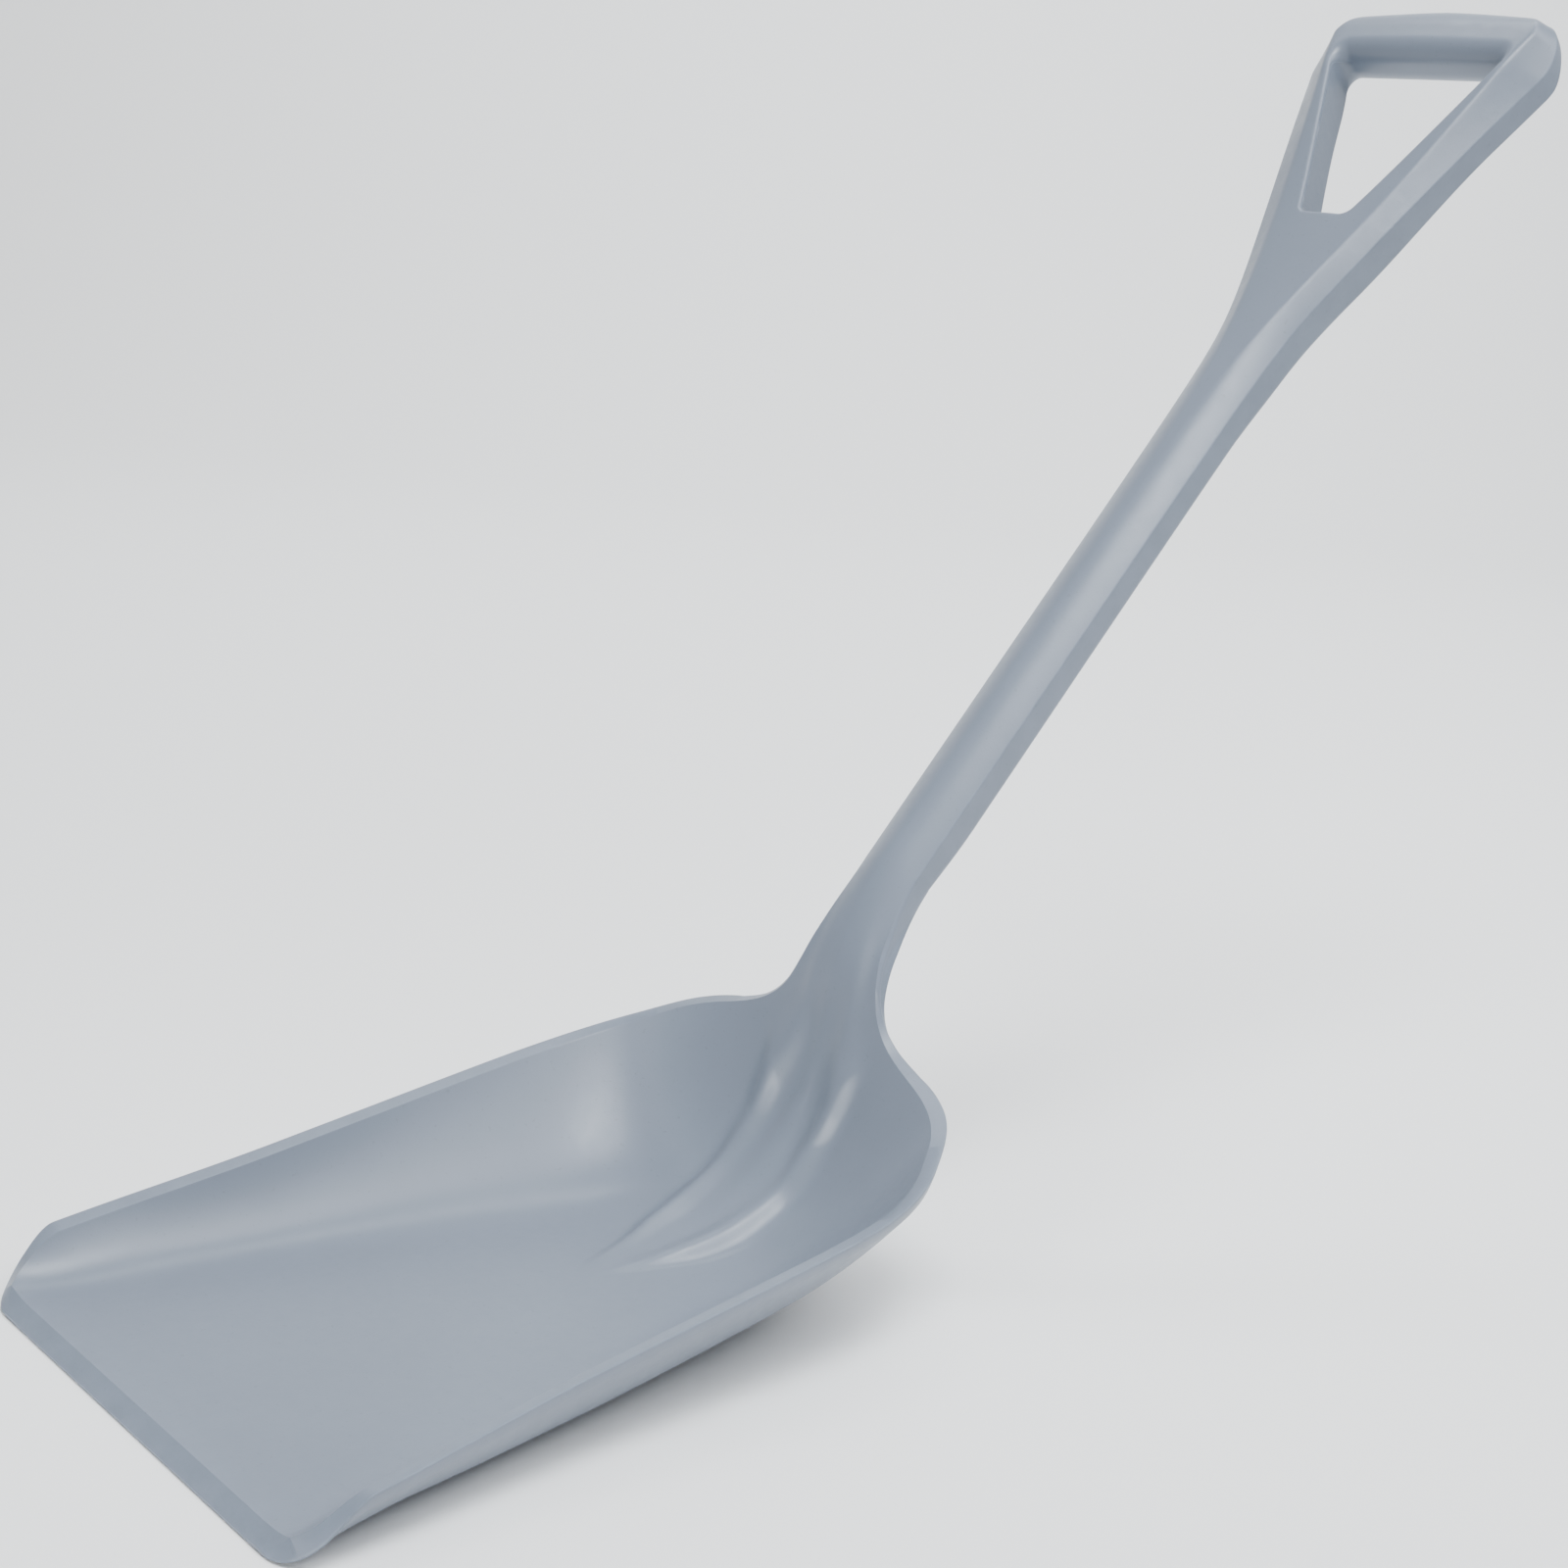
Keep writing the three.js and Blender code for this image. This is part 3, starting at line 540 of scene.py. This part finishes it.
def body_faces(rows, ring_size):
    """Quads between rings, with the grip opening and the two ends closed."""
    columns = 2 * EDGE + 1
    strip = 2 * ROUND_STEPS
    bottom_start = columns + strip
    top_of = lambda c: c
    bottom_of = lambda c: bottom_start + columns - 1 - c
    hole = range(EDGE - MID_COLUMNS, EDGE + MID_COLUMNS)
    skipped = {top_of(c) for c in hole} | {bottom_of(c + 1) for c in hole}
    faces = []
    for r in range(len(rows) - 1):
        a, b = r * ring_size, (r + 1) * ring_size
        for i in range(ring_size):
            if rows[r].get("open") and i in skipped:
                continue
            j = (i + 1) % ring_size
            faces.append((a + i, a + j, b + j, b + i))
    opened = [r for r, row in enumerate(rows) if row.get("open")]
    first, last = opened[0], opened[-1] + 1
    left, right = hole.start, hole.stop
    for r in range(first, last):
        a, b = r * ring_size, (r + 1) * ring_size
        faces.append((a + top_of(left), b + top_of(left), b + bottom_of(left), a + bottom_of(left)))
        faces.append((b + top_of(right), a + top_of(right), a + bottom_of(right), b + bottom_of(right)))
    ends = [
        (0, range(columns - 1), 1), (first, hole, -1),
        (last, hole, 1), (len(rows) - 1, range(columns - 1), -1),
    ]
    for r, cells, way in ends:
        a = r * ring_size
        for c in cells:
            quad = (a + top_of(c), a + bottom_of(c), a + bottom_of(c + 1), a + top_of(c + 1))
            faces.append(quad if way > 0 else quad[::-1])
    for r, way in ((0, 1), (len(rows) - 1, -1)):
        a = r * ring_size
        right_fan = [a + i for i in range(columns - 1, bottom_start + 1)]
        left_fan = [a + i % ring_size for i in range(bottom_start + columns - 1, ring_size + 1)]
        for fan in (right_fan, left_fan):
            faces.append(tuple(fan[::-1] if way > 0 else fan))
    return faces


def add_wear(piece, columns):
    """Wear of the surface, 0 to 1: strongest on the leading edge, then on the rim and the handle's sides."""
    count = len(piece.data.vertices)
    points = np.empty(count * 3)
    piece.data.vertices.foreach_get("co", points)
    y = points.reshape(-1, 3)[:, 1] / MM - FRONT
    ring = np.arange(count) % columns
    first, strip = 2 * EDGE + 1, 2 * ROUND_STEPS
    on_rim = ((ring >= first - 1) & (ring < first + strip)) | (ring >= columns - strip) | (ring == 0)
    wear = np.maximum(np.exp(-np.maximum(y, 0) / WEAR_REACH), RIM_WEAR * on_rim)
    attribute = piece.data.attributes.new("wear", "FLOAT", "POINT")
    attribute.data.foreach_set("value", wear.astype(np.float32))


def add_mesh(name, points, faces, material):
    """New object from points in millimetres, counted back from the leading edge."""
    placed = (np.asarray(points) + [0, FRONT, 0]) * MM
    mesh = bpy.data.meshes.new(name)
    mesh.from_pydata(placed.tolist(), [], faces)
    mesh.validate()
    mesh.update()
    mesh.shade_smooth()
    mesh.set_sharp_from_angle(angle=SHARP_ANGLE)
    mesh.materials.append(material)
    piece = bpy.data.objects.new(name, mesh)
    bpy.context.scene.collection.objects.link(piece)
    return piece


def cut_plug_hole(piece):
    """Bores the blind hole that the plug sits in, from the handle's underside."""
    circle = [(math.cos(t), math.sin(t)) for t in np.linspace(0, 2 * math.pi, PLUG_STEPS, endpoint=False)]
    points = [
        shaft_point(PLUG_AT + PLUG_HOLE * c, PLUG_HOLE * s, n)
        for n in PLUG_HOLE_ENDS for c, s in circle
    ]
    sides = [(i, (i + 1) % PLUG_STEPS) for i in range(PLUG_STEPS)]
    faces = [(i, j, j + PLUG_STEPS, i + PLUG_STEPS) for i, j in sides]
    faces += [tuple(range(PLUG_STEPS))[::-1], tuple(range(PLUG_STEPS, 2 * PLUG_STEPS))]
    cutter = add_mesh("plug_cutter", points, faces, piece.data.materials[0])
    modifier = piece.modifiers.new("plug_hole", "BOOLEAN")
    modifier.operation, modifier.solver, modifier.object = "DIFFERENCE", "EXACT", cutter
    bored = piece.evaluated_get(bpy.context.evaluated_depsgraph_get())
    whole = piece.data
    piece.data = bpy.data.meshes.new_from_object(bored)
    piece.modifiers.clear()
    bpy.data.objects.remove(cutter)
    piece.data.name = piece.name
    bpy.data.meshes.remove(whole)


# ---------- materials ----------
def new_material(name):
    material = bpy.data.materials.new(name)
    material.use_nodes = True
    nodes, links = material.node_tree.nodes, material.node_tree.links
    return material, nodes, links, nodes["Principled BSDF"]


def plastic(name, colour, roughness):
    """Satin moulded polypropylene: fine moulded texture, faint flow marks and scuffs."""
    material, nodes, links, shader = new_material(name)

    def noise(scale, detail, rough=0.5, stretch=(1, 1, 1)):
        mapping = nodes.new("ShaderNodeMapping")
        mapping.inputs["Scale"].default_value = stretch
        links.new(coords.outputs["Object"], mapping.inputs["Vector"])
        node = nodes.new("ShaderNodeTexNoise")
        node.inputs["Scale"].default_value = scale
        node.inputs["Detail"].default_value = detail
        node.inputs["Roughness"].default_value = rough
        links.new(mapping.outputs["Vector"], node.inputs["Vector"])
        return node.outputs["Fac"]

    def ramp(value, low, high, out_low, out_high):
        node = nodes.new("ShaderNodeMapRange")
        sockets = "From Min", "From Max", "To Min", "To Max"
        for socket, number in zip(sockets, (low, high, out_low, out_high)):
            node.inputs[socket].default_value = number
        links.new(value, node.inputs["Value"])
        return node.outputs["Result"]

    def combine(operation, first, second):
        node = nodes.new("ShaderNodeMath")
        node.operation = operation
        for socket, value in zip(node.inputs, (first, second)):
            if isinstance(value, float):
                socket.default_value = value
            else:
                links.new(value, socket)
        return node.outputs["Value"]

    def blend(factor, first, second):
        mix = nodes.new("ShaderNodeMix")
        mix.data_type = "RGBA"
        for socket, value in zip((mix.inputs["A"], mix.inputs["B"]), (first, second)):
            if isinstance(value, tuple):
                socket.default_value = (*value, 1)
            else:
                links.new(value, socket)
        links.new(factor, mix.inputs["Factor"])
        return mix.outputs["Result"]

    def tint(factor):
        return tuple(c * factor for c in colour)

    coords = nodes.new("ShaderNodeTexCoord")
    attribute = nodes.new("ShaderNodeAttribute")
    attribute.attribute_name = "wear"
    wear = combine("MULTIPLY", attribute.outputs["Fac"], ramp(noise(70, 6, 0.65), 0.38, 0.62, 0, 1))
    cloud = ramp(noise(9, 5, 0.6), 0.3, 0.7, 0, 1)
    speckle = ramp(noise(420, 2), 0.66, 0.74, 0, 0.5)
    scratches = ramp(noise(60, 3, 0.6, (14, 0.6, 6)), 0.6, 0.75, 0, 1)

    base = blend(cloud, tint(0.955), tint(1.045))
    base = blend(speckle, base, tint(0.8))
    base = blend(combine("MULTIPLY", wear, 0.6), base, tint(1.3))
    links.new(base, shader.inputs["Base Color"])

    rough = ramp(noise(160, 4), 0.3, 0.7, roughness - 0.04, roughness + 0.04)
    rough = combine("ADD", rough, combine("MULTIPLY", wear, 0.12))
    rough = combine("ADD", rough, combine("MULTIPLY", scratches, 0.05))
    links.new(rough, shader.inputs["Roughness"])

    grain = nodes.new("ShaderNodeBump")
    grain.inputs["Strength"].default_value = 0.16
    grain.inputs["Distance"].default_value = 0.0003
    links.new(noise(1400, 3), grain.inputs["Height"])
    ripple = nodes.new("ShaderNodeBump")
    ripple.inputs["Strength"].default_value = 0.1
    ripple.inputs["Distance"].default_value = 0.0008
    links.new(noise(90, 3, 0.55), ripple.inputs["Height"])
    links.new(grain.outputs["Normal"], ripple.inputs["Normal"])
    links.new(ripple.outputs["Normal"], shader.inputs["Normal"])
    return material


BODY_COLOUR, BODY_ROUGHNESS = (0.152, 0.179, 0.226), 0.34
PLUG_SHADE, PLUG_ROUGHNESS = 0.85, 0.5
body_plastic = plastic("body_plastic", BODY_COLOUR, BODY_ROUGHNESS)

# ---------- the scoop's body ----------
rows, rings = body_rings()
body = add_mesh("scoop_shell", rings.reshape(-1, 3), body_faces(rows, rings.shape[1]), body_plastic)
add_wear(body, rings.shape[1])
cut_plug_hole(body)
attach(body, "root")
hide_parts("scoop_body")

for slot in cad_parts["core_plug"].material_slots:
    slot.material = plastic("plug_plastic", tuple(c * PLUG_SHADE for c in BODY_COLOUR), PLUG_ROUGHNESS)

# ---------- camera ----------
CAMERA_AT = (0.75543, -0.38684, 0.48661)  # metres, counted back from the leading edge
CAMERA_AZIMUTH, CAMERA_ELEVATION, CAMERA_ROLL = (math.radians(v) for v in (46.916, 14.221, 5.136))
SENSOR, LENS = 36.0, 53.825


def add_camera():
    data = bpy.data.cameras.new("camera")
    data.sensor_width = SENSOR
    data.lens = LENS
    data.clip_start, data.clip_end = 0.05, 50
    camera = bpy.data.objects.new("camera", data)
    back = Vector((
        math.sin(CAMERA_AZIMUTH) * math.cos(CAMERA_ELEVATION),
        -math.cos(CAMERA_AZIMUTH) * math.cos(CAMERA_ELEVATION),
        math.sin(CAMERA_ELEVATION),
    ))
    across = Vector((0, 0, 1)).cross(back).normalized()
    upward = back.cross(across)
    turned_x = across * math.cos(CAMERA_ROLL) + upward * math.sin(CAMERA_ROLL)
    turned_y = upward * math.cos(CAMERA_ROLL) - across * math.sin(CAMERA_ROLL)
    pose = Matrix((turned_x, turned_y, back)).transposed().to_4x4()
    pose.translation = Vector(CAMERA_AT) + Vector((0, cad_low.y, 0))
    camera.matrix_world = pose
    bpy.context.scene.collection.objects.link(camera)
    bpy.context.scene.camera = camera


add_camera()


# ---------- studio ----------
SWEEP_HALF, SWEEP_FRONT, SWEEP_BACK, SWEEP_RADIUS, SWEEP_HEIGHT = 6.0, -3.5, 2.6, 1.2, 5.0  # metres
SWEEP_STEPS, FLOOR_GAP, FLOOR_COLOUR = 24, 0.0005, (0.93, 0.93, 0.93, 1)
COOL_WHITE = (0.93, 0.97, 1.0)
WORLD_STRENGTH = 0.52


def add_floor():
    """Plain pale floor that sweeps up into a backdrop behind the scoop, as seen by the camera."""
    material, nodes, links, shader = new_material("studio_floor")
    shader.inputs["Base Color"].default_value = FLOOR_COLOUR
    shader.inputs["Roughness"].default_value = 0.9
    shader.inputs["Specular IOR Level"].default_value = 0.1
    profile = [(SWEEP_FRONT, 0.0)]
    for i in range(SWEEP_STEPS + 1):
        turn = math.radians(90) * i / SWEEP_STEPS
        profile.append((SWEEP_BACK + SWEEP_RADIUS * math.sin(turn), SWEEP_RADIUS * (1 - math.cos(turn))))
    profile.append((SWEEP_BACK + SWEEP_RADIUS, SWEEP_HEIGHT))
    points = [(side, y, z) for y, z in profile for side in (-SWEEP_HALF, SWEEP_HALF)]
    faces = [(2 * i, 2 * i + 1, 2 * i + 3, 2 * i + 2) for i in range(len(profile) - 1)]
    mesh = bpy.data.meshes.new("studio_floor")
    mesh.from_pydata(points, [], faces)
    mesh.shade_smooth()
    mesh.materials.append(material)
    floor = bpy.data.objects.new("studio_floor", mesh)
    floor.location.z = cad_low.z - FLOOR_GAP
    floor.rotation_euler.z = CAMERA_AZIMUTH
    bpy.context.scene.collection.objects.link(floor)


def add_light(name, position, size, power, target=(0, 0, 0.15), spread=180):
    data = bpy.data.lights.new(name, "AREA")
    data.shape = "RECTANGLE"
    data.size, data.size_y = size
    data.energy = power
    data.spread = math.radians(spread)
    data.color = COOL_WHITE
    light = bpy.data.objects.new(name, data)
    light.location = position
    light.rotation_euler = (Vector(target) - Vector(position)).to_track_quat("-Z", "Y").to_euler()
    bpy.context.scene.collection.objects.link(light)


add_floor()
add_light("key_softbox", (1.1, 0.6, 2.35), (2.0, 2.0), 62)
add_light("crest_strip", (0.58, -0.42, 2.2), (1.0, 0.8), 42)
add_light("neck_fill", (0.35, -1.7, 0.7), (0.7, 0.7), 0.85, target=(0, 0, 0.12), spread=24)
add_light("backdrop_light", (-0.9, 1.3, 2.9), (2.4, 1.2), 110, target=(-2.6, 2.4, 0.9))

world = bpy.data.worlds.new("studio")
bpy.context.scene.world = world
world.use_nodes = True
world.node_tree.nodes["Background"].inputs["Color"].default_value = (1, 1, 1, 1)
world.node_tree.nodes["Background"].inputs["Strength"].default_value = WORLD_STRENGTH
